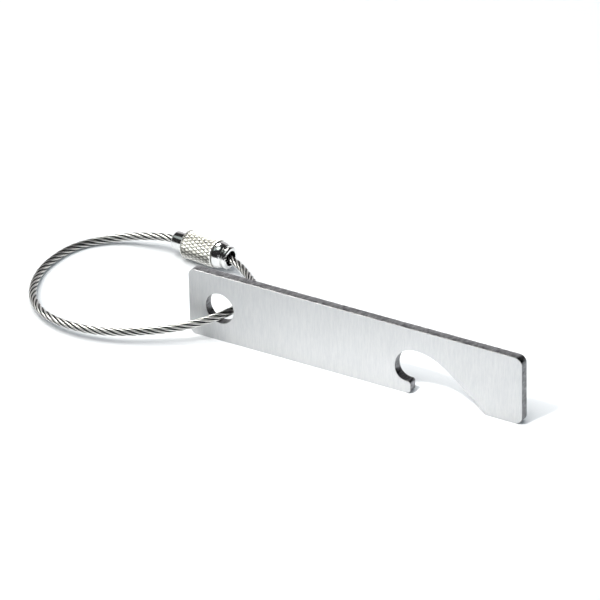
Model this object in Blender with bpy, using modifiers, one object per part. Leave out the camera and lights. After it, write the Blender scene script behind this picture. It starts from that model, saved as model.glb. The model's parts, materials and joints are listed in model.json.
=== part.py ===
"""Keychain bottle opener: a flat stainless bar with a cap notch, on a wire-rope key loop with a screw clasp.

The bar stands on its long edge. X runs along the bar towards the notch, Y across its thickness towards
the clasp, and Z up. The origin is the middle of the bar's lower edge. All values are in metres.
"""

import math

import bmesh
import bpy
import numpy as np
from mathutils import Matrix, Vector

MM = 0.001

# Opener bar
BAR_LENGTH = 93.4 * MM
BAR_WIDTH = 18.0 * MM
BAR_THICKNESS = 2.5 * MM
CORNER_RADIUS = 1.9 * MM
EDGE_BREAK = 0.15 * MM

# Round hole for the key loop, measured from the bar's left end and lower edge
HOLE_DIAMETER = 8.0 * MM
HOLE_FROM_END = 8.8 * MM
HOLE_HEIGHT = BAR_WIDTH / 2

# Cap notch: x is measured from the bar's left end, z from its lower edge
HOOK_FACE_X = 62.7 * MM
HOOK_TIP_Z = 3.35 * MM
HOOK_TIP_RADIUS = 0.7 * MM
HOOK_HEEL_RADIUS = 1.1 * MM
THROAT_X = 58.4 * MM
THROAT_LOWER_RADIUS = 3.3 * MM
THROAT_UPPER_RADIUS = 5.6 * MM
RAMP_UPPER_RADIUS = 13.5 * MM
RAMP_UPPER_TURN = 34.0
RAMP_LOWER_RADIUS = 80.0 * MM
RAMP_HEEL_RADIUS = 1.7 * MM

# Wire rope, from inside the stud, round the loop and through the bar, to inside the ferrule
ROPE_DIAMETER = 2.0 * MM
ROPE_STEP = 4.0 * MM
ROPE_ROUTE_MM = [
    (-68.6, 31.7, 3.7), (-71.7, 32.0, 3.7), (-75.0, 32.0, 3.5), (-80.0, 31.2, 2.85), (-84.5, 30.0, 2.15),
    (-89.0, 27.6, 1.4), (-92.4, 24.3, 1.1), (-94.8, 19.8, 1.05), (-95.8, 14.2, 1.05), (-95.7, 8.4, 1.05),
    (-94.2, 2.2, 1.15), (-91.0, -4.6, 1.4), (-86.3, -10.4, 1.75), (-80.8, -14.3, 2.1), (-74.8, -16.2, 2.35),
    (-68.3, -16.4, 2.5), (-62.0, -15.2, 2.75), (-56.4, -12.95, 3.1), (-51.1, -10.1, 3.55), (-46.7, -7.6, 4.3),
    (-43.2, -5.3, 5.15), (-40.7, -3.3, 5.95), (-38.4, -1.1, 6.65), (-36.8, 1.5, 7.1), (-35.6, 5.4, 7.25),
    (-35.5, 9.8, 6.9), (-36.7, 14.0, 6.2), (-38.9, 17.6, 5.4), (-41.8, 20.8, 4.6), (-44.9, 23.7, 4.0),
    (-48.5, 26.7, 3.75), (-52.0, 28.9, 3.7), (-54.2, 29.93, 3.7), (-56.2, 30.5, 3.7), (-58.4, 30.68, 3.7),
    (-61.5, 30.97, 3.7),
]

# Screw clasp: its axis starts at the sleeve's open mouth and points to the end that the rope leaves by.
# Every _START and _END is a place along that axis.
CLASP_MOUTH = Vector((-67.84, 31.61, 3.7)) * MM
CLASP_TURN = math.radians(-5.8)
CHAMFER = 0.35 * MM
EASE = 0.15 * MM

# Sleeve, outside: the knurled grip, a narrow groove, a rounded shoulder, a neck and a lip
KNURL_RADIUS = 3.7 * MM
KNURL_END = 9.8 * MM
GROOVE_RADIUS = 3.2 * MM
GROOVE_END = 10.1 * MM
SHOULDER_RADIUS = 3.5 * MM
SHOULDER_STEPS = 6
NECK_RADIUS = 2.58 * MM
NECK_END = 12.05 * MM
LIP_RADIUS = 2.98 * MM
LIP_START = 12.6 * MM
SLEEVE_END = 13.7 * MM

# Sleeve, inside: the threaded bore, the ferrule's chamber and the rope's exit hole
THREAD_CLEARANCE = 0.05 * MM
BORE_END = 5.6 * MM
CHAMBER_RADIUS = 2.45 * MM
CHAMBER_END = 9.7 * MM
EXIT_HOLE_RADIUS = 1.95 * MM

# Stud: a crimped collar outside the sleeve and a threaded nose inside it
COLLAR_RADIUS = 2.37 * MM
COLLAR_START = -3.86 * MM
COLLAR_END = -0.1 * MM
RELIEF_RADIUS = 2.1 * MM
RELIEF_END = 0.5 * MM
THREAD_RADIUS = 2.5 * MM
THREAD_START = 0.9 * MM
THREAD_END = 5.5 * MM
CRIMP_BORE_RADIUS = 1.3 * MM
CRIMP_BORE_END = -0.5 * MM

# Ferrule: crimped to the rope end that stays inside the sleeve
FERRULE_RADIUS = 2.15 * MM
FERRULE_START = 5.9 * MM
FERRULE_END = 9.4 * MM

# Facets
ROUND_STEPS = 48
ARC_TOLERANCE = 0.006 * MM


def clear_scene():
    for obj in list(bpy.data.objects):
        bpy.data.objects.remove(obj)


def new_collection(name):
    collection = bpy.data.collections.new(name)
    bpy.context.scene.collection.children.link(collection)
    return collection


def metal(name, color, roughness):
    material = bpy.data.materials.new(name)
    material.use_nodes = True
    shader = material.node_tree.nodes["Principled BSDF"]
    shader.inputs["Base Color"].default_value = (*color, 1.0)
    shader.inputs["Roughness"].default_value = roughness
    shader.inputs["Metallic"].default_value = 1.0
    return material


def add_empty(name, collection, frame, parent=None):
    """An empty whose frame is given in the world, or in its parent's axes."""
    empty = bpy.data.objects.new(name, None)
    empty.matrix_basis = frame
    empty.empty_display_size = BAR_WIDTH
    empty.parent = parent
    collection.objects.link(empty)
    return empty


def place(obj, collection, material, parent=None):
    collection.objects.link(obj)
    obj.data.materials.append(material)
    obj.parent = parent
    return obj


def arc(center, radius, start, end):
    """Points along an arc, both ends included, with its angles in degrees."""
    step = 2 * math.degrees(math.acos(1 - ARC_TOLERANCE / radius))
    count = math.ceil(abs(end - start) / step) + 1
    angles = [math.radians(start + (end - start) * i / (count - 1)) for i in range(count)]
    return [(center[0] + radius * math.cos(a), center[1] + radius * math.sin(a)) for a in angles]


def corner(x, z, start):
    """One rounded outer corner of the bar; x and z are its arc's centre."""
    return arc((x, z), CORNER_RADIUS, start, start + 90)


def notch_outline():
    """The cap notch, from the hook's heel, over the hook and the throat, and down the ramp to the lower edge."""
    heel = arc((HOOK_FACE_X - HOOK_HEEL_RADIUS, HOOK_HEEL_RADIUS), HOOK_HEEL_RADIUS, -90, 0)
    tip_center = (HOOK_FACE_X - HOOK_TIP_RADIUS, HOOK_TIP_Z - HOOK_TIP_RADIUS)
    tip = arc(tip_center, HOOK_TIP_RADIUS, 0, 90)
    throat_z = HOOK_TIP_Z + THROAT_LOWER_RADIUS
    lower_throat = arc((THROAT_X + THROAT_LOWER_RADIUS, throat_z), THROAT_LOWER_RADIUS, 270, 180)
    upper_center = (THROAT_X + THROAT_UPPER_RADIUS, throat_z)
    upper_throat = arc(upper_center, THROAT_UPPER_RADIUS, 180, 90)
    top = (upper_center[0], throat_z + THROAT_UPPER_RADIUS)
    ramp_end = 90 - RAMP_UPPER_TURN
    upper_ramp_center = (top[0], top[1] - RAMP_UPPER_RADIUS)
    upper_ramp = arc(upper_ramp_center, RAMP_UPPER_RADIUS, 90, ramp_end)
    normal = Vector((math.cos(math.radians(ramp_end)), math.sin(math.radians(ramp_end))))
    lower_ramp_center = Vector(upper_ramp_center) + (RAMP_UPPER_RADIUS - RAMP_LOWER_RADIUS) * normal
    reach = RAMP_LOWER_RADIUS + RAMP_HEEL_RADIUS
    heel_angle = math.degrees(math.asin((RAMP_HEEL_RADIUS - lower_ramp_center.y) / reach))
    lower_ramp = arc(lower_ramp_center, RAMP_LOWER_RADIUS, ramp_end, heel_angle)
    heel_x = lower_ramp_center.x + reach * math.cos(math.radians(heel_angle))
    ramp_heel = arc((heel_x, RAMP_HEEL_RADIUS), RAMP_HEEL_RADIUS, 180 + heel_angle, 270)
    curves = [heel, tip, lower_throat, upper_throat[1:], upper_ramp[1:], lower_ramp[1:], ramp_heel[1:]]
    return [point for curve in curves for point in curve]


def bar_outline():
    far_x = BAR_LENGTH - CORNER_RADIUS
    high_z = BAR_WIDTH - CORNER_RADIUS
    points = corner(CORNER_RADIUS, CORNER_RADIUS, 180)
    points += notch_outline()
    points += corner(far_x, CORNER_RADIUS, 270)
    points += corner(far_x, high_z, 0)
    points += corner(CORNER_RADIUS, high_z, 90)
    return points


def add_closed_spline(curve, points):
    spline = curve.splines.new("POLY")
    spline.points.add(len(points) - 1)
    for spot, (x, z) in zip(spline.points, points):
        spot.co = (x - BAR_LENGTH / 2, z, 0, 1)
    spline.use_cyclic_u = True


def build_opener_bar(collection):
    """A flat blank with its notch and hole, and a small chamfer along every edge."""
    curve = bpy.data.curves.new("opener_bar", "CURVE")
    curve.dimensions = "2D"
    curve.fill_mode = "BOTH"
    curve.extrude = BAR_THICKNESS / 2 - EDGE_BREAK
    curve.bevel_depth = EDGE_BREAK
    curve.bevel_resolution = 0
    curve.offset = -EDGE_BREAK
    add_closed_spline(curve, bar_outline())
    hole = arc((HOLE_FROM_END, HOLE_HEIGHT), HOLE_DIAMETER / 2, 0, 360)
    add_closed_spline(curve, hole[:-1])
    bar = bpy.data.objects.new("opener_bar", curve)
    bar.rotation_euler.x = math.radians(90)
    return place(bar, collection, metal("brushed_stainless", (0.62, 0.63, 0.64), 0.35))


def smooth_curve(route, step):
    """Even points along a natural cubic spline through the route's points."""
    knots = np.array(route, float)
    steps = np.linalg.norm(np.diff(knots, axis=0), axis=1)
    at = np.concatenate([[0.0], np.cumsum(steps)])
    count = len(knots)
    system = np.eye(count)
    target = np.zeros((count, 3))
    for i in range(1, count - 1):
        system[i, i - 1 : i + 2] = steps[i - 1], 2 * (steps[i - 1] + steps[i]), steps[i]
        rise = (knots[i + 1] - knots[i]) / steps[i] - (knots[i] - knots[i - 1]) / steps[i - 1]
        target[i] = 6 * rise
    bend = np.linalg.solve(system, target)
    fine = np.linspace(0, at[-1], 40 * count)
    k = np.clip(np.searchsorted(at, fine, side="right") - 1, 0, count - 2)
    span = steps[k][:, None]
    a = (at[k + 1] - fine)[:, None] / span
    b = 1 - a
    line = a * knots[k] + b * knots[k + 1]
    line += ((a**3 - a) * bend[k] + (b**3 - b) * bend[k + 1]) * span**2 / 6
    run = np.concatenate([[0.0], np.cumsum(np.linalg.norm(np.diff(line, axis=0), axis=1))])
    even = np.linspace(0, run[-1], round(run[-1] / step) + 1)
    return np.stack([np.interp(even, run, line[:, i]) for i in range(3)], axis=1)


def build_wire_rope(collection, pivot):
    curve = bpy.data.curves.new("wire_rope", "CURVE")
    curve.dimensions = "3D"
    curve.bevel_depth = ROPE_DIAMETER / 2
    curve.bevel_resolution = 2
    curve.use_fill_caps = True
    points = smooth_curve(np.array(ROPE_ROUTE_MM) * MM, ROPE_STEP)
    spline = curve.splines.new("POLY")
    spline.points.add(len(points) - 1)
    for spot, point in zip(spline.points, points):
        spot.co = (*point, 1)
    rope = bpy.data.objects.new("wire_rope", curve)
    rope.location = -pivot.location
    return place(rope, collection, metal("wire_rope_steel", (0.55, 0.54, 0.51), 0.3), pivot)


def clasp_frame():
    """The clasp's own axes in the world: local Z runs along its axis, from the mouth to the exit hole."""
    along = Vector((math.cos(CLASP_TURN), math.sin(CLASP_TURN), 0))
    across = Vector((0, 0, 1))
    side = along.cross(across)
    axes = Matrix((across, side, along)).transposed().to_4x4()
    return Matrix.Translation(CLASP_MOUTH) @ axes


def build_turned(name, profile, collection, clasp, material):
    """A piece turned about the clasp's axis; profile lists (radius, place), outer side from top to bottom."""
    mesh = bpy.data.meshes.new(name)
    shape = bmesh.new()
    verts = [shape.verts.new((radius, 0, along)) for radius, along in profile]
    pairs = list(zip(verts, verts[1:]))
    if profile[0][0] > 0:
        pairs.append((verts[-1], verts[0]))
    for pair in pairs:
        shape.edges.new(pair)
    shape.to_mesh(mesh)
    shape.free()
    obj = bpy.data.objects.new(name, mesh)
    turn = obj.modifiers.new("turn", "SCREW")
    turn.steps = turn.render_steps = ROUND_STEPS
    turn.use_merge_vertices = True
    turn.merge_threshold = 0.01 * MM
    turn.use_smooth_shade = True
    return place(obj, collection, material, clasp)


def build_threaded_stud(collection, clasp):
    """Crimped to one rope end: a smooth collar outside the sleeve and a threaded nose inside it."""
    profile = [
        (0, THREAD_END),
        (THREAD_RADIUS - CHAMFER, THREAD_END),
        (THREAD_RADIUS, THREAD_END - CHAMFER),
        (THREAD_RADIUS, THREAD_START),
        (RELIEF_RADIUS, RELIEF_END),
        (RELIEF_RADIUS, COLLAR_END),
        (COLLAR_RADIUS, COLLAR_END),
        (COLLAR_RADIUS, COLLAR_START + CHAMFER),
        (COLLAR_RADIUS - CHAMFER, COLLAR_START),
        (CRIMP_BORE_RADIUS, COLLAR_START),
        (CRIMP_BORE_RADIUS, CRIMP_BORE_END),
        (0, CRIMP_BORE_END),
    ]
    material = metal("polished_steel", (0.6, 0.61, 0.62), 0.12)
    return build_turned("threaded_stud", profile, collection, clasp, material)


def shoulder():
    """The sleeve's rounded shoulder, a quarter of an ellipse from the neck back to the groove."""
    turns = [math.pi / 2 * i / SHOULDER_STEPS for i in range(SHOULDER_STEPS, -1, -1)]
    drop = SHOULDER_RADIUS - NECK_RADIUS
    reach = NECK_END - GROOVE_END
    return [(NECK_RADIUS + drop * math.cos(t), GROOVE_END + reach * math.sin(t)) for t in turns]


def build_clasp_sleeve(collection, clasp):
    """The knurled nut, which ends in a smooth necked lip that the other rope end runs through."""
    bore = THREAD_RADIUS + THREAD_CLEARANCE
    profile = [
        (EXIT_HOLE_RADIUS + EASE, SLEEVE_END),
        (LIP_RADIUS - CHAMFER, SLEEVE_END),
        (LIP_RADIUS, SLEEVE_END - CHAMFER),
        (LIP_RADIUS, LIP_START),
        *shoulder(),
        (GROOVE_RADIUS, GROOVE_END),
        (GROOVE_RADIUS, KNURL_END),
        (KNURL_RADIUS - CHAMFER, KNURL_END),
        (KNURL_RADIUS, KNURL_END - CHAMFER),
        (KNURL_RADIUS, CHAMFER),
        (KNURL_RADIUS - CHAMFER, 0),
        (bore + EASE, 0),
        (bore, EASE),
        (bore, BORE_END),
        (CHAMBER_RADIUS, BORE_END),
        (CHAMBER_RADIUS, CHAMBER_END),
        (EXIT_HOLE_RADIUS, CHAMBER_END),
        (EXIT_HOLE_RADIUS, SLEEVE_END - EASE),
    ]
    material = metal("knurled_nickel", (0.72, 0.71, 0.68), 0.22)
    return build_turned("clasp_sleeve", profile, collection, clasp, material)


def build_end_ferrule(collection, clasp):
    """Crimped to the other rope end: it keeps that end inside the sleeve, which turns on it."""
    profile = [
        (FERRULE_RADIUS - CHAMFER, FERRULE_END),
        (FERRULE_RADIUS, FERRULE_END - CHAMFER),
        (FERRULE_RADIUS, FERRULE_START + CHAMFER),
        (FERRULE_RADIUS - CHAMFER, FERRULE_START),
        (CRIMP_BORE_RADIUS, FERRULE_START),
        (CRIMP_BORE_RADIUS, FERRULE_END),
    ]
    material = metal("ferrule_steel", (0.62, 0.6, 0.56), 0.35)
    return build_turned("end_ferrule", profile, collection, clasp, material)


def main():
    clear_scene()
    opener = new_collection("keychain_bottle_opener")
    build_opener_bar(opener)
    hole_center = Vector((HOLE_FROM_END - BAR_LENGTH / 2, 0, HOLE_HEIGHT))
    pivot = add_empty("key_loop_pivot", opener, Matrix.Translation(hole_center))
    clasp = add_empty("clasp_axis", opener, Matrix.Translation(-hole_center) @ clasp_frame(), pivot)
    build_wire_rope(opener, pivot)
    build_threaded_stud(opener, clasp)
    build_clasp_sleeve(opener, clasp)
    build_end_ferrule(opener, clasp)


main()
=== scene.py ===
"""Keychain bottle opener: the finished look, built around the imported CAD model.

Lengths are in metres, apart from names that end in _MM. The axes are the CAD frame's: X along the bar
towards the notch, Y towards the clasp, and Z up.
"""

import json
import math

import bpy
import numpy as np
from mathutils import Matrix, Vector


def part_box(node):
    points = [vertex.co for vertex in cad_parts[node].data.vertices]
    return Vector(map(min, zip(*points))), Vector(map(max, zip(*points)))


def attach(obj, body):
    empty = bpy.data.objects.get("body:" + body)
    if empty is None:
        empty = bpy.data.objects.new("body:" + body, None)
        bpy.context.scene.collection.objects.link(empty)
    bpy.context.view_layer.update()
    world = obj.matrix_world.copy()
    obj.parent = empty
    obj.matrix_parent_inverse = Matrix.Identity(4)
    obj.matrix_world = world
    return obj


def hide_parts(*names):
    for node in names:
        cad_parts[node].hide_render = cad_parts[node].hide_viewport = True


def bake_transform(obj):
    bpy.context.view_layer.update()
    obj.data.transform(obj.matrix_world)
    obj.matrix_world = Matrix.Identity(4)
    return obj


MM = 0.001
CROWN = "crown"

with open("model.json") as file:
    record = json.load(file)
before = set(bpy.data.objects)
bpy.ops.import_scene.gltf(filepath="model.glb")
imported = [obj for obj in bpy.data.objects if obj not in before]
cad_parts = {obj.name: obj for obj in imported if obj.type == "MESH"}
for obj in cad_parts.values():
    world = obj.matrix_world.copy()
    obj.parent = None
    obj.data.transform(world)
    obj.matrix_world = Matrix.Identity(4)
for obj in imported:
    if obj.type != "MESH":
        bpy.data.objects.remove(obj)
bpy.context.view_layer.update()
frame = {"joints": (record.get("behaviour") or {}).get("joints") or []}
collection = bpy.context.scene.collection


# ---------------------------------------------------------------- camera

CAMERA_PLACE = Vector((0.58027, -0.96687, 0.64376))
CAMERA_YAW = math.radians(31.64)
CAMERA_DROP = math.radians(28.90)
CAMERA_ROLL = math.radians(-1.18)
CAMERA_LENS_MM = 320.88
CAMERA_CLIP_START = 0.05


def make_camera():
    data = bpy.data.cameras.new("camera")
    data.lens = CAMERA_LENS_MM
    data.clip_start = CAMERA_CLIP_START
    camera = bpy.data.objects.new("camera", data)
    turn = Matrix.Rotation(CAMERA_YAW, 4, "Z") @ Matrix.Rotation(math.pi / 2 - CAMERA_DROP, 4, "X")
    camera.matrix_world = Matrix.Translation(CAMERA_PLACE) @ turn @ Matrix.Rotation(CAMERA_ROLL, 4, "Z")
    collection.objects.link(camera)
    bpy.context.scene.camera = camera


# ---------------------------------------------------------------- mesh helpers

FINE_POINTS_PER_KNOT = 40


def mesh_object(name, points, faces, materials, face_materials=None):
    mesh = bpy.data.meshes.new(name)
    mesh.from_pydata([tuple(p) for p in points], [], faces)
    for material in materials:
        mesh.materials.append(material)
    if face_materials is not None:
        mesh.polygons.foreach_set("material_index", face_materials)
    mesh.shade_smooth()
    mesh.update()
    obj = bpy.data.objects.new(name, mesh)
    collection.objects.link(obj)
    return obj


def tube_faces(rings, sides, first=0):
    """The quads of a tube whose rings lie one after another, and its two end caps."""
    faces = []
    for i in range(rings - 1):
        a = first + i * sides
        b = a + sides
        faces += [(a + j, a + (j + 1) % sides, b + (j + 1) % sides, b + j) for j in range(sides)]
    last = first + (rings - 1) * sides
    faces.append(tuple(range(first + sides - 1, first - 1, -1)))
    faces.append(tuple(range(last, last + sides)))
    return faces


def smooth_curve(route, step):
    """Even points along a natural cubic spline through the route's points."""
    knots = np.array(route, float)
    steps = np.linalg.norm(np.diff(knots, axis=0), axis=1)
    at = np.concatenate([[0.0], np.cumsum(steps)])
    count = len(knots)
    system = np.eye(count)
    target = np.zeros((count, 3))
    for i in range(1, count - 1):
        system[i, i - 1 : i + 2] = steps[i - 1], 2 * (steps[i - 1] + steps[i]), steps[i]
        rise = (knots[i + 1] - knots[i]) / steps[i] - (knots[i] - knots[i - 1]) / steps[i - 1]
        target[i] = 6 * rise
    bend = np.linalg.solve(system, target)
    fine = np.linspace(0, at[-1], FINE_POINTS_PER_KNOT * count)
    k = np.clip(np.searchsorted(at, fine, side="right") - 1, 0, count - 2)
    span = steps[k][:, None]
    a = (at[k + 1] - fine)[:, None] / span
    b = 1 - a
    line = a * knots[k] + b * knots[k + 1]
    line += ((a**3 - a) * bend[k] + (b**3 - b) * bend[k + 1]) * span**2 / 6
    run = np.concatenate([[0.0], np.cumsum(np.linalg.norm(np.diff(line, axis=0), axis=1))])
    even = np.linspace(0, run[-1], round(run[-1] / step) + 1)
    return np.stack([np.interp(even, run, line[:, i]) for i in range(3)], axis=1)


def unit(vectors):
    return vectors / np.linalg.norm(vectors, axis=-1, keepdims=True)


# ---------------------------------------------------------------- materials

# Each pair of colours is the darker and the lighter end of a metal's own variation.
FACE_STEEL = ((0.495, 0.502, 0.512), (0.565, 0.567, 0.567))
PLAIN_CUT = ((0.22, 0.225, 0.235), (0.62, 0.625, 0.64))
# A darker copy of the cut-edge colour, painted shade for the ends, corners, notch and hole walls.
CUT_PAINTED_SHADE = ((0.04, 0.04, 0.04), (0.28, 0.28, 0.295))
DRAWN_WIRE = ((0.65, 0.64, 0.62), (0.82, 0.81, 0.78))
NICKEL_PLATE = ((0.88, 0.87, 0.83), (0.94, 0.93, 0.89))
CHROME = ((0.8, 0.8, 0.79), (0.87, 0.87, 0.86))
OILED_STEEL = ((0.12, 0.12, 0.12), (0.22, 0.215, 0.21))
# Painted shade, with some grease and dirt, for the gaps between the strands.
STRAND_GAP_SHADE_AND_DIRT = (0.02, 0.02, 0.024)
# Painted shade for the knurl's valleys.
KNURL_VALLEY_SHADE = (0.2, 0.195, 0.17)

# The strands are painted dark, as painted shade with some grease and dirt, up to the first of these
# distances from the rope's middle, as a share of its radius, and bright from the second.
STRAND_SHADE_FADE = (0.86, 0.97)

BRUSH_MARK_DEPTH = 0.006 * MM
PLATING_GRAIN_DEPTH = 0.008 * MM
CUT_LINE_DEPTH = 0.02 * MM


class Nodes:
    """A material's node tree, with short calls for the nodes that the metals share."""

    def __init__(self, name):
        self.material = bpy.data.materials.new(name)
        self.material.use_nodes = True
        self.tree = self.material.node_tree
        self.shader = self.tree.nodes["Principled BSDF"]
        self.coordinates = self.tree.nodes.new("ShaderNodeTexCoord").outputs["Object"]

    def link(self, output, target):
        self.tree.links.new(output, target)

    def noise(self, scale, stretch=(1, 1, 1), detail=3):
        """A noise with that many grains a metre; stretch multiplies it along X, Y and Z."""
        mapping = self.tree.nodes.new("ShaderNodeMapping")
        mapping.inputs["Scale"].default_value = stretch
        self.link(self.coordinates, mapping.inputs["Vector"])
        noise = self.tree.nodes.new("ShaderNodeTexNoise")
        noise.inputs["Scale"].default_value = scale
        noise.inputs["Detail"].default_value = detail
        self.link(mapping.outputs["Vector"], noise.inputs["Vector"])
        return noise.outputs["Fac"]

    def add(self, first, second):
        node = self.tree.nodes.new("ShaderNodeMath")
        node.operation = "ADD"
        self.link(first, node.inputs[0])
        self.link(second, node.inputs[1])
        return node.outputs["Value"]

    def spread(self, value, low, high, to_low=0, to_high=1):
        """A value from low to high, brought to the range to_low to to_high."""
        node = self.tree.nodes.new("ShaderNodeMapRange")
        for key, number in zip(("From Min", "From Max", "To Min", "To Max"), (low, high, to_low, to_high)):
            node.inputs[key].default_value = number
        self.link(value, node.inputs["Value"])
        return node.outputs["Result"]

    def colors(self, value, dark, light):
        """A colour between dark and light, by a value from 0 to 1. An end may be another node's colour."""
        mix = self.tree.nodes.new("ShaderNodeMix")
        mix.data_type = "RGBA"
        for color, end in ((dark, mix.inputs[6]), (light, mix.inputs[7])):
            if isinstance(color, bpy.types.NodeSocket):
                self.link(color, end)
            else:
                end.default_value = (*color, 1)
        self.link(value, mix.inputs["Factor"])
        return mix.outputs[2]

    def clasp_radius(self):
        """How far the surface is from the clasp's axis."""
        from_mouth = self.tree.nodes.new("ShaderNodeVectorMath")
        from_mouth.operation = "SUBTRACT"
        from_mouth.inputs[1].default_value = CLASP_MOUTH
        self.link(self.coordinates, from_mouth.inputs[0])
        across = self.tree.nodes.new("ShaderNodeVectorMath")
        across.operation = "CROSS_PRODUCT"
        across.inputs[1].default_value = CLASP_AXIS
        self.link(from_mouth.outputs["Vector"], across.inputs[0])
        length = self.tree.nodes.new("ShaderNodeVectorMath")
        length.operation = "LENGTH"
        self.link(across.outputs["Vector"], length.inputs[0])
        return length.outputs["Value"]

    def bump(self, value, height):
        node = self.tree.nodes.new("ShaderNodeBump")
        node.inputs["Distance"].default_value = height
        node.inputs["Strength"].default_value = 1.0
        self.link(value, node.inputs["Height"])
        return node.outputs["Normal"]

    def finish(self, color, roughness, normal=None):
        self.shader.inputs["Metallic"].default_value = 1.0
        self.link(color, self.shader.inputs["Base Color"])
        self.link(roughness, self.shader.inputs["Roughness"])
        if normal is not None:
            self.link(normal, self.shader.inputs["Normal"])
        return self.material


def brushed_face():
    """Stainless brushed across the bar: fine upright lines, longer and shorter, with a faint cloudiness."""
    nodes = Nodes("brushed_face")
    fine = nodes.noise(1500, stretch=(7, 1, 0.5), detail=4)
    coarse = nodes.noise(500, stretch=(6, 1, 0.6), detail=2)
    cloud = nodes.noise(60, detail=2)
    tone = nodes.spread(nodes.add(fine, coarse), 0.75, 1.25)
    roughness = nodes.spread(cloud, 0.3, 0.7, to_low=0.36, to_high=0.44)
    normal = nodes.bump(fine, BRUSH_MARK_DEPTH)
    return nodes.finish(nodes.colors(tone, *FACE_STEEL), roughness, normal)


def cut_edge(name, dark, light):
    """A laser-cut edge, with close lines through the bar's thickness."""
    nodes = Nodes(name)
    lines = nodes.noise(1500, stretch=(3, 0.35, 3))
    patches = nodes.noise(900, stretch=(1, 0.6, 1), detail=2)
    tone = nodes.spread(nodes.add(lines, patches), 0.75, 1.25)
    roughness = nodes.spread(patches, 0.3, 0.7, to_low=0.28, to_high=0.42)
    normal = nodes.bump(lines, CUT_LINE_DEPTH)
    return nodes.finish(nodes.colors(tone, dark, light), roughness, normal)


def strand_steel():
    """Bright drawn wire, darkened between the strands by painted shade and some grease and dirt."""
    nodes = Nodes("strand_steel")
    patches = nodes.noise(900)
    tone = nodes.spread(patches, 0.35, 0.65)
    roughness = nodes.spread(patches, 0.3, 0.7, to_low=0.28, to_high=0.36)
    bright = nodes.colors(tone, *DRAWN_WIRE)
    # Painted shade: the colour darkens towards the gaps between the strands.
    crown = nodes.tree.nodes.new("ShaderNodeAttribute")
    crown.attribute_name = CROWN
    out_of_gap = nodes.spread(crown.outputs["Fac"], *STRAND_SHADE_FADE)
    return nodes.finish(nodes.colors(out_of_gap, STRAND_GAP_SHADE_AND_DIRT, bright), roughness)


def knurled_nickel():
    """Satin nickel plate, darkened down into the valleys between the diamonds by painted shade."""
    nodes = Nodes("knurled_nickel")
    patches = nodes.noise(1400)
    tone = nodes.spread(patches, 0.3, 0.7)
    roughness = nodes.spread(patches, 0.3, 0.7, to_low=0.36, to_high=0.46)
    normal = nodes.bump(patches, PLATING_GRAIN_DEPTH)
    plated = nodes.colors(tone, *NICKEL_PLATE)
    # Painted shade: the colour darkens from the diamonds' tops down into the valleys.
    height = nodes.spread(nodes.clasp_radius(), KNURL_RADIUS - KNURL_DEPTH, KNURL_RADIUS - KNURL_UNSHADED_TOP)
    return nodes.finish(nodes.colors(height, KNURL_VALLEY_SHADE, plated), roughness, normal)


def polished_chrome():
    """Chrome over a turned surface, with fine rings that the polish has left."""
    nodes = Nodes("polished_chrome")
    lines = nodes.noise(2500, stretch=(1, 0.2, 0.2), detail=2)
    roughness = nodes.spread(lines, 0.3, 0.7, to_low=0.1, to_high=0.17)
    tone = nodes.spread(lines, 0.3, 0.7)
    return nodes.finish(nodes.colors(tone, *CHROME), roughness)


def bore_steel():
    """The unpolished insides of the sleeve and the stud, and the ferrule, with a little oil."""
    nodes = Nodes("bore_steel")
    patches = nodes.noise(1200)
    tone = nodes.spread(patches, 0.3, 0.7)
    roughness = nodes.spread(patches, 0.3, 0.7, to_low=0.3, to_high=0.45)
    return nodes.finish(nodes.colors(tone, *OILED_STEEL), roughness)


# ---------------------------------------------------------------- wire rope

ROPE_DIAMETER = 2.0 * MM
ROPE_ROUTE_MM = [
    (-68.6, 31.7, 3.7), (-71.7, 32.0, 3.7), (-75.0, 32.0, 3.5), (-80.0, 31.2, 2.85),
    (-84.5, 30.0, 2.15), (-89.0, 27.6, 1.4), (-92.4, 24.3, 1.1), (-94.8, 19.8, 1.05),
    (-95.8, 14.2, 1.05), (-95.7, 8.4, 1.05), (-94.2, 2.2, 1.15), (-91.0, -4.6, 1.4),
    (-86.3, -10.4, 1.75), (-80.8, -14.3, 2.1), (-74.8, -16.2, 2.35), (-68.3, -16.4, 2.5),
    (-62.0, -15.2, 2.75), (-56.4, -12.95, 3.1), (-51.1, -10.1, 3.55), (-46.7, -7.6, 4.3),
    (-43.2, -5.3, 5.15), (-40.7, -3.3, 5.95), (-38.4, -1.1, 6.65), (-36.8, 1.5, 7.1),
    (-35.6, 5.4, 7.25), (-35.5, 9.8, 6.9), (-36.7, 14.0, 6.2), (-38.9, 17.6, 5.4),
    (-41.8, 20.8, 4.6), (-44.9, 23.7, 4.0), (-48.5, 26.7, 3.75), (-52.0, 28.9, 3.7),
    (-54.2, 29.93, 3.7), (-56.2, 30.5, 3.7), (-58.4, 30.68, 3.7), (-61.5, 30.97, 3.7),
]
RING_STEP = 0.28 * MM
OUTER_STRANDS = 6
WIRES_PER_STRAND = 6
STRAND_RADIUS = 0.32 * MM
STRAND_ORBIT = ROPE_DIAMETER / 2 - STRAND_RADIUS
STRAND_LAY = 14.5 * MM
WIRE_LAY = 6.0 * MM
WIRE_RELIEF = 0.03
CORE_RADIUS = 0.34 * MM
POINTS_PER_WIRE = 4


def lobed_section(radius):
    """Angles and radii round a strand. Its wires were drawn through a die, so its grooves are shallow."""
    wire = radius / 3
    count = WIRES_PER_STRAND * POINTS_PER_WIRE
    angles = 2 * math.pi * np.arange(count) / count
    spacing = 2 * math.pi / WIRES_PER_STRAND
    off_lobe = (angles + spacing / 2) % spacing - spacing / 2
    middle = 2 * wire
    depth = np.sqrt(np.maximum(wire**2 - (middle * np.sin(off_lobe)) ** 2, 0))
    full = middle * np.cos(off_lobe) + depth
    return angles, radius + (full - radius) * WIRE_RELIEF


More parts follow.
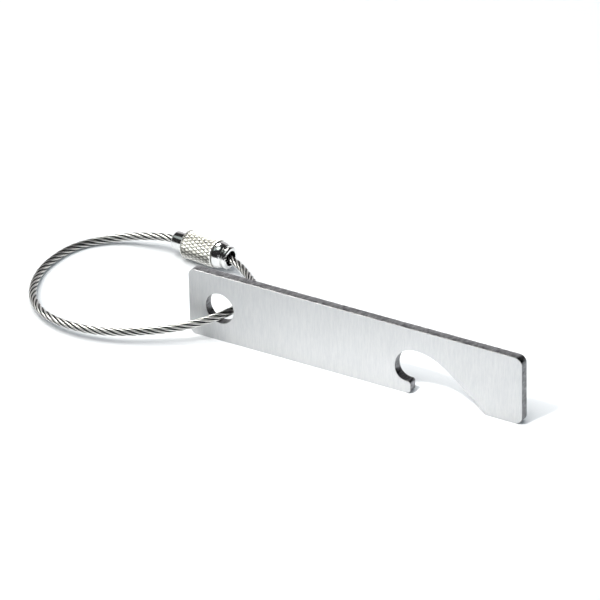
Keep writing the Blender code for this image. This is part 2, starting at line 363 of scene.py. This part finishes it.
def transported_normals(line):
    """Two normals at each point of a line, turned as little as possible from point to point."""
    tangents = unit(np.gradient(line, axis=0))
    normal = unit(np.cross(tangents[0], (0.0, 0.0, 1.0)))
    normals = [normal]
    for tangent in tangents[1:]:
        normal = unit(normal - tangent * (normal @ tangent))
        normals.append(normal)
    normals = np.array(normals)
    return normals, np.cross(tangents, normals)


def strand_rings(line, normals, binormals, along, orbit, start, radius):
    """The rings of one strand, which circles the rope's line at that orbit, with a right-handed lay."""
    turn = start + 2 * math.pi * along / STRAND_LAY
    outwards = normals * np.cos(turn)[:, None] + binormals * np.sin(turn)[:, None]
    centers = line + orbit * outwards
    tangents = unit(np.gradient(centers, axis=0))
    first = unit(outwards - tangents * (outwards * tangents).sum(1, keepdims=True))
    second = np.cross(tangents, first)
    angles, radii = lobed_section(radius)
    twist = angles[None, :] - 2 * math.pi * along[:, None] / WIRE_LAY
    offsets = first[:, None] * np.cos(twist)[..., None] + second[:, None] * np.sin(twist)[..., None]
    return centers[:, None] + offsets * radii[None, :, None]


def build_rope():
    """The rope's mesh, its middle line and its length. Each point keeps its distance from that line."""
    line = smooth_curve(np.array(ROPE_ROUTE_MM) * MM, RING_STEP)
    along = np.concatenate([[0.0], np.cumsum(np.linalg.norm(np.diff(line, axis=0), axis=1))])
    normals, binormals = transported_normals(line)
    strands = [(0.0, 0.0, CORE_RADIUS)]
    for i in range(OUTER_STRANDS):
        strands.append((STRAND_ORBIT, 2 * math.pi * i / OUTER_STRANDS, STRAND_RADIUS))
    points, faces, crown = [], [], []
    sides = WIRES_PER_STRAND * POINTS_PER_WIRE
    for orbit, start, radius in strands:
        rings = strand_rings(line, normals, binormals, along, orbit, start, radius)
        faces += tube_faces(len(rings), sides, len(points) * len(line) * sides)
        points.append(rings.reshape(-1, 3))
        crown.append(np.linalg.norm(rings - line[:, None], axis=2).ravel() / (ROPE_DIAMETER / 2))
    rope = mesh_object("wire_rope_strands", np.concatenate(points), faces, [strand_steel()])
    rope.data.attributes.new(CROWN, "FLOAT", "POINT").data.foreach_set("value", np.concatenate(crown))
    return rope, line, along[-1]


# ---------------------------------------------------------------- clasp

clasp_joint = next(joint for joint in frame["joints"] if joint["name"] == "sleeve_spin")
CLASP_MOUTH = Vector(clasp_joint["pos_m"])
CLASP_AXIS = Vector(clasp_joint["axis"]).normalized()

ROUND_STEPS = 288
SHARP_TURN = math.radians(42)
SURFACE_TOLERANCE = 0.01 * MM

KNURL_RADIUS = 3.7 * MM
KNURL_END = 9.8 * MM
KNURL_DEPTH = 0.3 * MM
KNURLS_AROUND = 24
KNURL_PITCH = 2.3 * MM
KNURL_FLAT = 0.8
KNURL_RINGS = 140
KNURL_RUN_OUT = 0.3
# The diamonds' tops are free of the painted shade within this depth.
KNURL_UNSHADED_TOP = 0.04 * MM
GROOVE_RADIUS = 3.2 * MM
GROOVE_END = 10.1 * MM
SHOULDER_RADIUS = 3.5 * MM
NECK_RADIUS = 2.58 * MM
NECK_END = 12.05 * MM
SHOULDER_STEPS = 10
LIP_RADIUS = 2.98 * MM
LIP_START = 12.6 * MM
LIP_FILLET = ((0.12 * MM, 0.1 * MM), (0.0, 0.3 * MM))
SLEEVE_END = 13.7 * MM
BORE_RADIUS = 2.55 * MM
BORE_END = 5.6 * MM
CHAMBER_RADIUS = 2.45 * MM
CHAMBER_END = 9.7 * MM
EXIT_HOLE_RADIUS = 1.95 * MM
CHAMFER = 0.35 * MM
EASE = 0.15 * MM

COLLAR_RADIUS = 2.37 * MM
COLLAR_START = -3.86 * MM
COLLAR_END = -0.1 * MM
COLLAR_OUTER_ROUND = 0.45 * MM
COLLAR_INNER_ROUND = 0.2 * MM
RELIEF_RADIUS = 2.0 * MM
THREAD_RADIUS = 2.5 * MM
THREAD_DEPTH = 0.45 * MM
THREAD_PITCH = 0.8 * MM
THREAD_START = 0.75 * MM
THREAD_END = 5.5 * MM
THREAD_FLAT = 0.1
THREAD_RUN_OUT = 0.3 * MM
THREAD_END_DEPTH = 0.8
THREAD_END_STEP = 0.1 * MM
THREAD_RINGS = 90
STUD_STEPS = 144
CRIMP_BORE_RADIUS = 1.06 * MM
CRIMP_BORE_END = -0.5 * MM

FERRULE_RADIUS = 2.15 * MM
FERRULE_START = 5.9 * MM
FERRULE_END = 9.4 * MM
FERRULE_RINGS = 24
FERRULE_STEPS = 96
CRIMP_FLATS = 6
CRIMP_DEPTH = 0.14 * MM
CRIMP_HALF_LENGTH = 1.26 * MM
CRIMP_RUN_OUT = 0.9 * MM


def rounded(center, radius, start, end, steps):
    """Profile points round an arc: angle 0 points outwards and 90 along the clasp's axis."""
    turns = [math.radians(start + (end - start) * i / steps) for i in range(steps + 1)]
    return [(center[0] + radius * math.cos(t), center[1] + radius * math.sin(t)) for t in turns]


def straight(radius, start, end, steps):
    """Profile points along a cylinder, close enough for its relief to be cut into it."""
    return [(radius, start + (end - start) * i / steps) for i in range(steps + 1)]


def clasp_axes():
    up = Vector((0, 0, 1))
    return np.array(up), np.array(CLASP_AXIS.cross(up)), np.array(CLASP_AXIS)


def turned(name, profile, materials, material_at, closed, relief=None, steps=ROUND_STEPS):
    """A piece turned about the clasp's axis.

    profile lists (radius, place), the outer side first, from the end where the rope leaves the sleeve.
    relief(radii, places, angles) moves the surface in or out, and material_at(radius, place) picks a slot.
    """
    up, side, axis = clasp_axes()
    angles = 2 * math.pi * np.arange(steps) / steps
    radii, places = np.array(profile).T
    grid = np.repeat(radii[:, None], steps, axis=1)
    if relief is not None:
        grid = grid + relief(radii[:, None], places[:, None], angles[None, :])
    around = np.cos(angles)[:, None] * up + np.sin(angles)[:, None] * side
    points = np.array(CLASP_MOUTH) + places[:, None, None] * axis + grid[..., None] * around
    count = len(profile)
    rows = count if closed else count - 1
    faces, slots = [], []
    for i in range(rows):
        a, b = i * steps, (i + 1) % count * steps
        faces += [(a + j, b + j, b + (j + 1) % steps, a + (j + 1) % steps) for j in range(steps)]
        middle = (radii[i] + radii[(i + 1) % count]) / 2, (places[i] + places[(i + 1) % count]) / 2
        slots += [material_at(*middle)] * steps
    if not closed:
        faces += [tuple(range(steps)), tuple(range(count * steps - 1, (count - 1) * steps - 1, -1))]
        slots += [material_at(0, places[0]), material_at(0, places[-1])]
    piece = mesh_object(name, points.reshape(-1, 3), faces, materials, slots)
    piece.data.set_sharp_from_angle(angle=SHARP_TURN)
    return piece


def knurl(radii, places, angles):
    """Two crossed sets of grooves leave diamonds; the grooves run out at both ends of the grip."""
    turn = KNURLS_AROUND * angles / (2 * math.pi)
    rise = places / KNURL_PITCH
    first = 1 - np.abs((turn + rise) % 1 - 0.5) * 2
    second = 1 - np.abs((turn - rise) % 1 - 0.5) * 2
    height = np.minimum(1, np.minimum(first, second) / KNURL_FLAT)
    on_grip = (radii > KNURL_RADIUS - SURFACE_TOLERANCE) & (places > 0) & (places < KNURL_END)
    edge = np.minimum(places, KNURL_END - places) / CHAMFER
    fade = np.clip(edge - KNURL_RUN_OUT, 0, 1)
    return np.where(on_grip, (height - 1) * KNURL_DEPTH * fade, 0.0)


def build_grip():
    """The knurled length of the sleeve, bored for the stud's thread and the ferrule's chamber."""
    profile = [
        (GROOVE_RADIUS, KNURL_END),
        *rounded((KNURL_RADIUS - CHAMFER, KNURL_END - CHAMFER), CHAMFER, 90, 15, 4),
        *straight(KNURL_RADIUS, KNURL_END - CHAMFER, CHAMFER, KNURL_RINGS),
        *rounded((KNURL_RADIUS - CHAMFER, CHAMFER), CHAMFER, -15, -90, 4),
        (BORE_RADIUS + EASE, 0),
        (BORE_RADIUS, EASE),
        (BORE_RADIUS, BORE_END),
        (CHAMBER_RADIUS, BORE_END),
        (CHAMBER_RADIUS, KNURL_END),
    ]

    def material_at(radius, place):
        return 1 if radius < BORE_RADIUS + EASE else 0

    return turned("knurled_grip", profile, [knurled_nickel(), bore_steel()], material_at, True, knurl)


def build_nose():
    """The polished end of the sleeve: groove, rounded shoulder, neck, and the lip round the rope's hole."""
    reach = NECK_END - GROOVE_END
    drop = SHOULDER_RADIUS - NECK_RADIUS
    turns = [math.pi / 2 * i / SHOULDER_STEPS for i in range(SHOULDER_STEPS, -1, -1)]
    lip_middle = (LIP_START + SLEEVE_END) / 2
    lip_half = (SLEEVE_END - LIP_START) / 2
    profile = [
        *rounded((LIP_RADIUS - lip_half, lip_middle), lip_half, 90, -90, 14),
        *[(NECK_RADIUS + rise, LIP_START - back) for rise, back in LIP_FILLET],
        *[(NECK_RADIUS + drop * math.cos(t), GROOVE_END + reach * math.sin(t)) for t in turns],
        (GROOVE_RADIUS, GROOVE_END),
        (GROOVE_RADIUS, KNURL_END),
        (CHAMBER_RADIUS, KNURL_END),
        (CHAMBER_RADIUS, CHAMBER_END),
        (EXIT_HOLE_RADIUS, CHAMBER_END),
        *rounded((EXIT_HOLE_RADIUS + EASE, SLEEVE_END - EASE), EASE, 180, 90, 4),
    ]

    def material_at(radius, place):
        return 1 if radius < EXIT_HOLE_RADIUS + SURFACE_TOLERANCE else 0

    return turned("polished_nose", profile, [polished_chrome(), bore_steel()], material_at, True)


def thread(radii, places, angles):
    """A right-hand V thread that runs out at both ends of the stud's nose."""
    phase = np.abs((places / THREAD_PITCH - angles / (2 * math.pi)) % 1 - 0.5) * 2
    depth = THREAD_DEPTH * np.clip((phase - THREAD_FLAT) / (1 - 2 * THREAD_FLAT), 0, 1)
    fade = np.clip(np.minimum(places - THREAD_START, THREAD_END - places) / THREAD_RUN_OUT, 0, 1)
    on_thread = radii > THREAD_RADIUS - SURFACE_TOLERANCE
    return np.where(on_thread, -depth * fade - (1 - fade) * THREAD_DEPTH * THREAD_END_DEPTH, 0.0)


def build_stud():
    """Crimped to the rope: a smooth collar outside the sleeve and a threaded nose inside it."""
    inner, outer = COLLAR_INNER_ROUND, COLLAR_OUTER_ROUND
    profile = [
        (THREAD_RADIUS - THREAD_DEPTH - THREAD_END_STEP, THREAD_END),
        *straight(THREAD_RADIUS, THREAD_END, THREAD_START, THREAD_RINGS),
        (RELIEF_RADIUS, THREAD_START - THREAD_END_STEP),
        (RELIEF_RADIUS, COLLAR_END),
        *rounded((COLLAR_RADIUS - inner, COLLAR_END - inner), inner, 90, 0, 5),
        *rounded((COLLAR_RADIUS - outer, COLLAR_START + outer), outer, 0, -90, 8),
        (CRIMP_BORE_RADIUS + EASE, COLLAR_START),
        (CRIMP_BORE_RADIUS, COLLAR_START + EASE),
        (CRIMP_BORE_RADIUS, CRIMP_BORE_END),
    ]

    def material_at(radius, place):
        return 1 if radius < CRIMP_BORE_RADIUS + SURFACE_TOLERANCE and place < 0 else 0

    metals = [polished_chrome(), bore_steel()]
    return turned("clasp_stud", profile, metals, material_at, False, thread, STUD_STEPS)


def crimp(radii, places, angles):
    """Six pressed flats round the middle of the ferrule."""
    middle = (FERRULE_START + FERRULE_END) / 2
    reach = np.clip((CRIMP_HALF_LENGTH - np.abs(places - middle)) / CRIMP_RUN_OUT, 0, 1)
    pressed = CRIMP_DEPTH * np.cos(CRIMP_FLATS / 2 * angles) ** 2 * reach
    return np.where(radii > FERRULE_RADIUS - SURFACE_TOLERANCE, -pressed, 0.0)


def build_ferrule():
    """The sleeve that is crimped on the rope's end, inside the clasp."""
    first, last = FERRULE_START + CHAMFER, FERRULE_END - CHAMFER
    profile = [
        *rounded((FERRULE_RADIUS - CHAMFER, last), CHAMFER, 90, 10, 5),
        *straight(FERRULE_RADIUS, last, first, FERRULE_RINGS),
        *rounded((FERRULE_RADIUS - CHAMFER, first), CHAMFER, -10, -90, 5),
        (CRIMP_BORE_RADIUS, FERRULE_START),
        (CRIMP_BORE_RADIUS, FERRULE_END),
    ]

    def material_at(radius, place):
        return 0

    return turned("crimped_ferrule", profile, [bore_steel()], material_at, True, crimp, FERRULE_STEPS)


# ---------------------------------------------------------------- opener bar

bar_low, bar_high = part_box("opener_bar")
BAR_LENGTH = bar_high.x - bar_low.x
BAR_WIDTH = bar_high.z - bar_low.z
BAR_THICKNESS = bar_high.y - bar_low.y
CORNER_RADIUS = 1.9 * MM
EDGE_ROUND = 0.13 * MM
EDGE_ROUND_RESOLUTION = 3
EDGE_WALL_TILT = 0.2
BAR_SHARP_TURN = math.radians(30)
HOLE_DIAMETER = 8.0 * MM
HOLE_FROM_END = 8.8 * MM
HOOK_FACE_X = 62.7 * MM
HOOK_TIP_Z = 3.35 * MM
HOOK_TIP_RADIUS = 0.7 * MM
HOOK_HEEL_RADIUS = 1.1 * MM
THROAT_X = 58.4 * MM
THROAT_LOWER_RADIUS = 3.3 * MM
THROAT_UPPER_RADIUS = 5.6 * MM
RAMP_UPPER_RADIUS = 13.5 * MM
RAMP_UPPER_TURN = 34.0
RAMP_LOWER_RADIUS = 80.0 * MM
RAMP_HEEL_RADIUS = 1.7 * MM
ARC_TOLERANCE = 0.002 * MM


def arc(center, radius, start, end):
    """Points along an arc, both ends included, with its angles in degrees."""
    step = 2 * math.degrees(math.acos(1 - ARC_TOLERANCE / radius))
    count = math.ceil(abs(end - start) / step) + 1
    angles = [math.radians(start + (end - start) * i / (count - 1)) for i in range(count)]
    return [(center[0] + radius * math.cos(a), center[1] + radius * math.sin(a)) for a in angles]


def notch_outline():
    """The cap notch: the hook's heel and tip, the throat, and the ramp down to the lower edge."""
    heel = arc((HOOK_FACE_X - HOOK_HEEL_RADIUS, HOOK_HEEL_RADIUS), HOOK_HEEL_RADIUS, -90, 0)
    tip_center = (HOOK_FACE_X - HOOK_TIP_RADIUS, HOOK_TIP_Z - HOOK_TIP_RADIUS)
    tip = arc(tip_center, HOOK_TIP_RADIUS, 0, 90)
    throat_z = HOOK_TIP_Z + THROAT_LOWER_RADIUS
    lower_throat = arc((THROAT_X + THROAT_LOWER_RADIUS, throat_z), THROAT_LOWER_RADIUS, 270, 180)
    upper_center = (THROAT_X + THROAT_UPPER_RADIUS, throat_z)
    upper_throat = arc(upper_center, THROAT_UPPER_RADIUS, 180, 90)
    top = (upper_center[0], throat_z + THROAT_UPPER_RADIUS)
    ramp_end = 90 - RAMP_UPPER_TURN
    upper_ramp_center = (top[0], top[1] - RAMP_UPPER_RADIUS)
    upper_ramp = arc(upper_ramp_center, RAMP_UPPER_RADIUS, 90, ramp_end)
    normal = Vector((math.cos(math.radians(ramp_end)), math.sin(math.radians(ramp_end))))
    lower_ramp_center = Vector(upper_ramp_center) + (RAMP_UPPER_RADIUS - RAMP_LOWER_RADIUS) * normal
    reach = RAMP_LOWER_RADIUS + RAMP_HEEL_RADIUS
    heel_angle = math.degrees(math.asin((RAMP_HEEL_RADIUS - lower_ramp_center.y) / reach))
    lower_ramp = arc(lower_ramp_center, RAMP_LOWER_RADIUS, ramp_end, heel_angle)
    heel_x = lower_ramp_center.x + reach * math.cos(math.radians(heel_angle))
    ramp_heel = arc((heel_x, RAMP_HEEL_RADIUS), RAMP_HEEL_RADIUS, 180 + heel_angle, 270)
    curves = [heel, tip, lower_throat, upper_throat[1:], upper_ramp[1:], lower_ramp[1:], ramp_heel[1:]]
    return [point for curve in curves for point in curve]


def bar_outline():
    near, far_x, high_z = CORNER_RADIUS, BAR_LENGTH - CORNER_RADIUS, BAR_WIDTH - CORNER_RADIUS
    points = arc((near, near), CORNER_RADIUS, 180, 270)
    points += notch_outline()
    points += arc((far_x, near), CORNER_RADIUS, 270, 360)
    points += arc((far_x, high_z), CORNER_RADIUS, 0, 90)
    points += arc((near, high_z), CORNER_RADIUS, 90, 180)
    return points


def add_closed_spline(curve, points):
    spline = curve.splines.new("POLY")
    spline.points.add(len(points) - 1)
    for spot, (x, z) in zip(spline.points, points):
        spot.co = (x - BAR_LENGTH / 2, z, 0, 1)
    spline.use_cyclic_u = True


def on_long_edge(place):
    return min(place.z, BAR_WIDTH - place.z) < EDGE_ROUND


def build_bar():
    """The flat blank with its notch and hole. Its edges are deburred, and so slightly round."""
    curve = bpy.data.curves.new("bar_shape", "CURVE")
    curve.dimensions = "2D"
    curve.fill_mode = "BOTH"
    curve.extrude = BAR_THICKNESS / 2 - EDGE_ROUND
    curve.bevel_depth = EDGE_ROUND
    curve.bevel_resolution = EDGE_ROUND_RESOLUTION
    curve.offset = -EDGE_ROUND
    add_closed_spline(curve, bar_outline())
    hole = arc((HOLE_FROM_END, BAR_WIDTH / 2), HOLE_DIAMETER / 2, 0, 360)
    add_closed_spline(curve, hole[:-1])
    shape = bpy.data.objects.new("bar_shape", curve)
    collection.objects.link(shape)
    mesh = bpy.data.meshes.new_from_object(shape.evaluated_get(bpy.context.evaluated_depsgraph_get()))
    bpy.data.objects.remove(shape)
    mesh.transform(Matrix.Rotation(math.pi / 2, 4, "X"))
    mesh.name = "brushed_bar"
    mesh.materials.clear()
    mesh.materials.append(brushed_face())
    mesh.materials.append(cut_edge("plain_cut", *PLAIN_CUT))
    mesh.materials.append(cut_edge("cut_painted_shade", *CUT_PAINTED_SHADE))
    mesh.shade_smooth()
    # The long top and bottom edges take the plain cut colour; the other walls take its darker copy, painted
    # shade.
    for face in mesh.polygons:
        if abs(face.normal.y) < EDGE_WALL_TILT:
            face.material_index = 1 if on_long_edge(face.center) else 2
    mesh.set_sharp_from_angle(angle=BAR_SHARP_TURN)
    bar = bpy.data.objects.new("brushed_bar", mesh)
    collection.objects.link(bar)
    return bar


# ---------------------------------------------------------------- studio


FLOOR_HALF_SIZE = 3.0
FLOOR_COLOR = (0.8, 0.8, 0.8, 1)
FLOOR_GLOW = (0.74, 0.87, 1.0, 1)
FLOOR_GLOW_STRENGTH = 0.08

# The pale wall fades out between these heights, as sines of the angle above the horizon, and to the sides
# between these cosines of the angle from the view's direction.
WALL_TOP = (math.sin(math.radians(42)), math.sin(math.radians(26)))
WALL_SIDES = (0.35, 0.75)
WALL_AZIMUTH = CAMERA_YAW + math.pi / 2
WALL_BRIGHTNESS = 0.62
ROOM_BRIGHTNESS = 0.03
ROOM_COLOR = (1, 0.97, 1, 1)

TABLE_CENTER = Vector((0, 0, 0))
CLASP_PLACE = Vector((-0.07, 0.03, 0))

FRONT_SPOT_PLACE = Vector((-0.1, -0.35, 0.6))
FRONT_SPOT_AIM = Vector((0.012, -0.004, 0))
FRONT_SPOT_WATTS = 22
FRONT_SPOT_ANGLE = math.radians(7)
FRONT_SPOT_SOURCE_RADIUS = 0.03
FRONT_SPOT_STRETCH = (1.8, 1, 1)


def build_floor():
    """A wide white table, lit from above and glowing a little, as an overexposed one does."""
    size = FLOOR_HALF_SIZE
    corners = [(-size, -size, 0), (size, -size, 0), (size, size, 0), (-size, size, 0)]
    material = bpy.data.materials.new("white_table")
    material.use_nodes = True
    shader = material.node_tree.nodes["Principled BSDF"]
    shader.inputs["Base Color"].default_value = FLOOR_COLOR
    shader.inputs["Roughness"].default_value = 1.0
    shader.inputs["Specular IOR Level"].default_value = 0.0
    shader.inputs["Emission Color"].default_value = FLOOR_GLOW
    shader.inputs["Emission Strength"].default_value = FLOOR_GLOW_STRENGTH
    floor = mesh_object("floor", corners, [(0, 1, 2, 3)], [material])


def facing(place, aim):
    return (Vector(aim) - Vector(place)).to_track_quat("-Z", "Y").to_euler()


def area_light(name, place, aim, size, watts, color, in_metal):
    """A round soft light. It either shows only as a glint in the metal, or lights only the table."""
    data = bpy.data.lights.new(name, "AREA")
    data.shape = "DISK"
    data.size = size
    data.energy = watts
    data.color = color
    light = bpy.data.objects.new(name, data)
    light.location = place
    light.rotation_euler = facing(place, aim)
    light.visible_camera = False
    light.visible_diffuse = not in_metal
    light.visible_glossy = in_metal
    collection.objects.link(light)
    return light


def front_spot():
    """A wide pool of light on the table in front of the bar, which its brushed face mirrors."""
    data = bpy.data.lights.new("front_spot", "SPOT")
    data.energy = FRONT_SPOT_WATTS
    data.spot_size = FRONT_SPOT_ANGLE
    data.spot_blend = 1.0
    data.shadow_soft_size = FRONT_SPOT_SOURCE_RADIUS
    light = bpy.data.objects.new("front_spot", data)
    light.location = FRONT_SPOT_PLACE
    light.rotation_euler = facing(FRONT_SPOT_PLACE, FRONT_SPOT_AIM)
    light.scale = FRONT_SPOT_STRETCH
    light.visible_camera = False
    light.visible_glossy = False
    collection.objects.link(light)


def build_world():
    """White to the camera. The metal mirrors a dark room, with a pale wall that rises behind the table."""
    world = bpy.data.worlds.new("studio")
    bpy.context.scene.world = world
    world.use_nodes = True
    nodes, links = world.node_tree.nodes, world.node_tree.links

    def stepped(value, low, high):
        step = nodes.new("ShaderNodeMapRange")
        step.interpolation_type = "SMOOTHSTEP"
        step.inputs["From Min"].default_value = low
        step.inputs["From Max"].default_value = high
        links.new(value, step.inputs["Value"])
        return step.outputs["Result"]

    def along(direction, vector):
        dot = nodes.new("ShaderNodeVectorMath")
        dot.operation = "DOT_PRODUCT"
        dot.inputs[1].default_value = vector
        links.new(direction, dot.inputs[0])
        return dot.outputs["Value"]

    direction = nodes.new("ShaderNodeTexCoord").outputs["Generated"]
    towards_wall = (math.cos(WALL_AZIMUTH), math.sin(WALL_AZIMUTH), 0)
    behind = stepped(along(direction, towards_wall), *WALL_SIDES)
    below = stepped(along(direction, (0, 0, 1)), *WALL_TOP)
    wall = nodes.new("ShaderNodeMath")
    wall.operation = "MULTIPLY"
    links.new(behind, wall.inputs[0])
    links.new(below, wall.inputs[1])
    strength = nodes.new("ShaderNodeMapRange")
    strength.inputs["To Min"].default_value = ROOM_BRIGHTNESS
    strength.inputs["To Max"].default_value = WALL_BRIGHTNESS
    links.new(wall.outputs["Value"], strength.inputs["Value"])
    seen = nodes.new("ShaderNodeMath")
    seen.operation = "MAXIMUM"
    links.new(strength.outputs["Result"], seen.inputs[0])
    links.new(nodes.new("ShaderNodeLightPath").outputs["Is Camera Ray"], seen.inputs[1])
    nodes["Background"].inputs["Color"].default_value = ROOM_COLOR
    links.new(seen.outputs["Value"], nodes["Background"].inputs["Strength"])


def only_on(light, pieces):
    """Keep a light to some pieces, as a flag between the lamp and the rest does."""
    reached = bpy.data.collections.new(light.name + "_reaches")
    for piece in pieces:
        reached.objects.link(piece)
    light.light_linking.receiver_collection = reached


def light_table():
    """A warm key from the upper left, a wide cool fill from above, and a pool of light before the bar."""
    area_light(
        "key",
        place=(-0.35, -0.25, 1.0),
        aim=TABLE_CENTER,
        size=1.15,
        watts=13.2,
        color=(1, 0.99, 0.96),
        in_metal=False,
    )
    area_light(
        "fill",
        place=(0, 0, 1.6),
        aim=TABLE_CENTER,
        size=3.0,
        watts=21,
        color=(0.84, 0.93, 1),
        in_metal=False,
    )
    front_spot()


def light_metal(satin_pieces, sleeve_pieces):
    """The lamps that the metal mirrors. The last two are kept to some of the pieces."""
    area_light(
        "glint_left",
        place=(-0.62, -0.3, 0.9),
        aim=(-0.06, 0.03, 0),
        size=0.55,
        watts=0.35,
        color=(0.85, 0.97, 0.95),
        in_metal=True,
    )
    area_light(
        "glint_above",
        place=(-0.1, -0.15, 1.1),
        aim=CLASP_PLACE,
        size=0.7,
        watts=1.6,
        color=(0.9, 1, 0.96),
        in_metal=True,
    )
    satin_glint = area_light(
        "satin_glint",
        place=(-0.66, -0.16, 0.99),
        aim=(-0.07, 0.01, 0),
        size=0.5,
        watts=14,
        color=(1, 1, 0.95),
        in_metal=True,
    )
    only_on(satin_glint, satin_pieces)
    top_glint = area_light(
        "top_glint",
        place=(-0.65, 0.5, 0.95),
        aim=CLASP_PLACE,
        size=0.6,
        watts=12,
        color=(1, 1, 0.98),
        in_metal=True,
    )
    only_on(top_glint, sleeve_pieces)


def build_studio(satin_pieces, sleeve_pieces):
    build_floor()
    build_world()
    light_table()
    light_metal(satin_pieces, sleeve_pieces)
    bpy.context.scene.view_settings.view_transform = "Standard"


# ---------------------------------------------------------------- assembly


def main():
    make_camera()
    rope, line, length = build_rope()
    grip = build_grip()
    nose = build_nose()
    stud = build_stud()
    ferrule = build_ferrule()
    bar = build_bar()

    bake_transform(rope)
    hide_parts("wire_rope")
    for piece, body, node, slot in (
        (bar, "opener", "opener_bar", "brushed_bar"),
        (grip, "screw_sleeve", "clasp_sleeve", "knurled_nickel"),
        (nose, "screw_sleeve", "clasp_sleeve", "polished_steel"),
        (stud, "stud", "threaded_stud", "polished_steel"),
        (ferrule, "key_loop", "end_ferrule", "ferrule_metal"),
    ):
        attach(piece, body)
        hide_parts(node)
    build_studio(satin_pieces=[rope, grip, bar], sleeve_pieces=[grip, nose])


main()
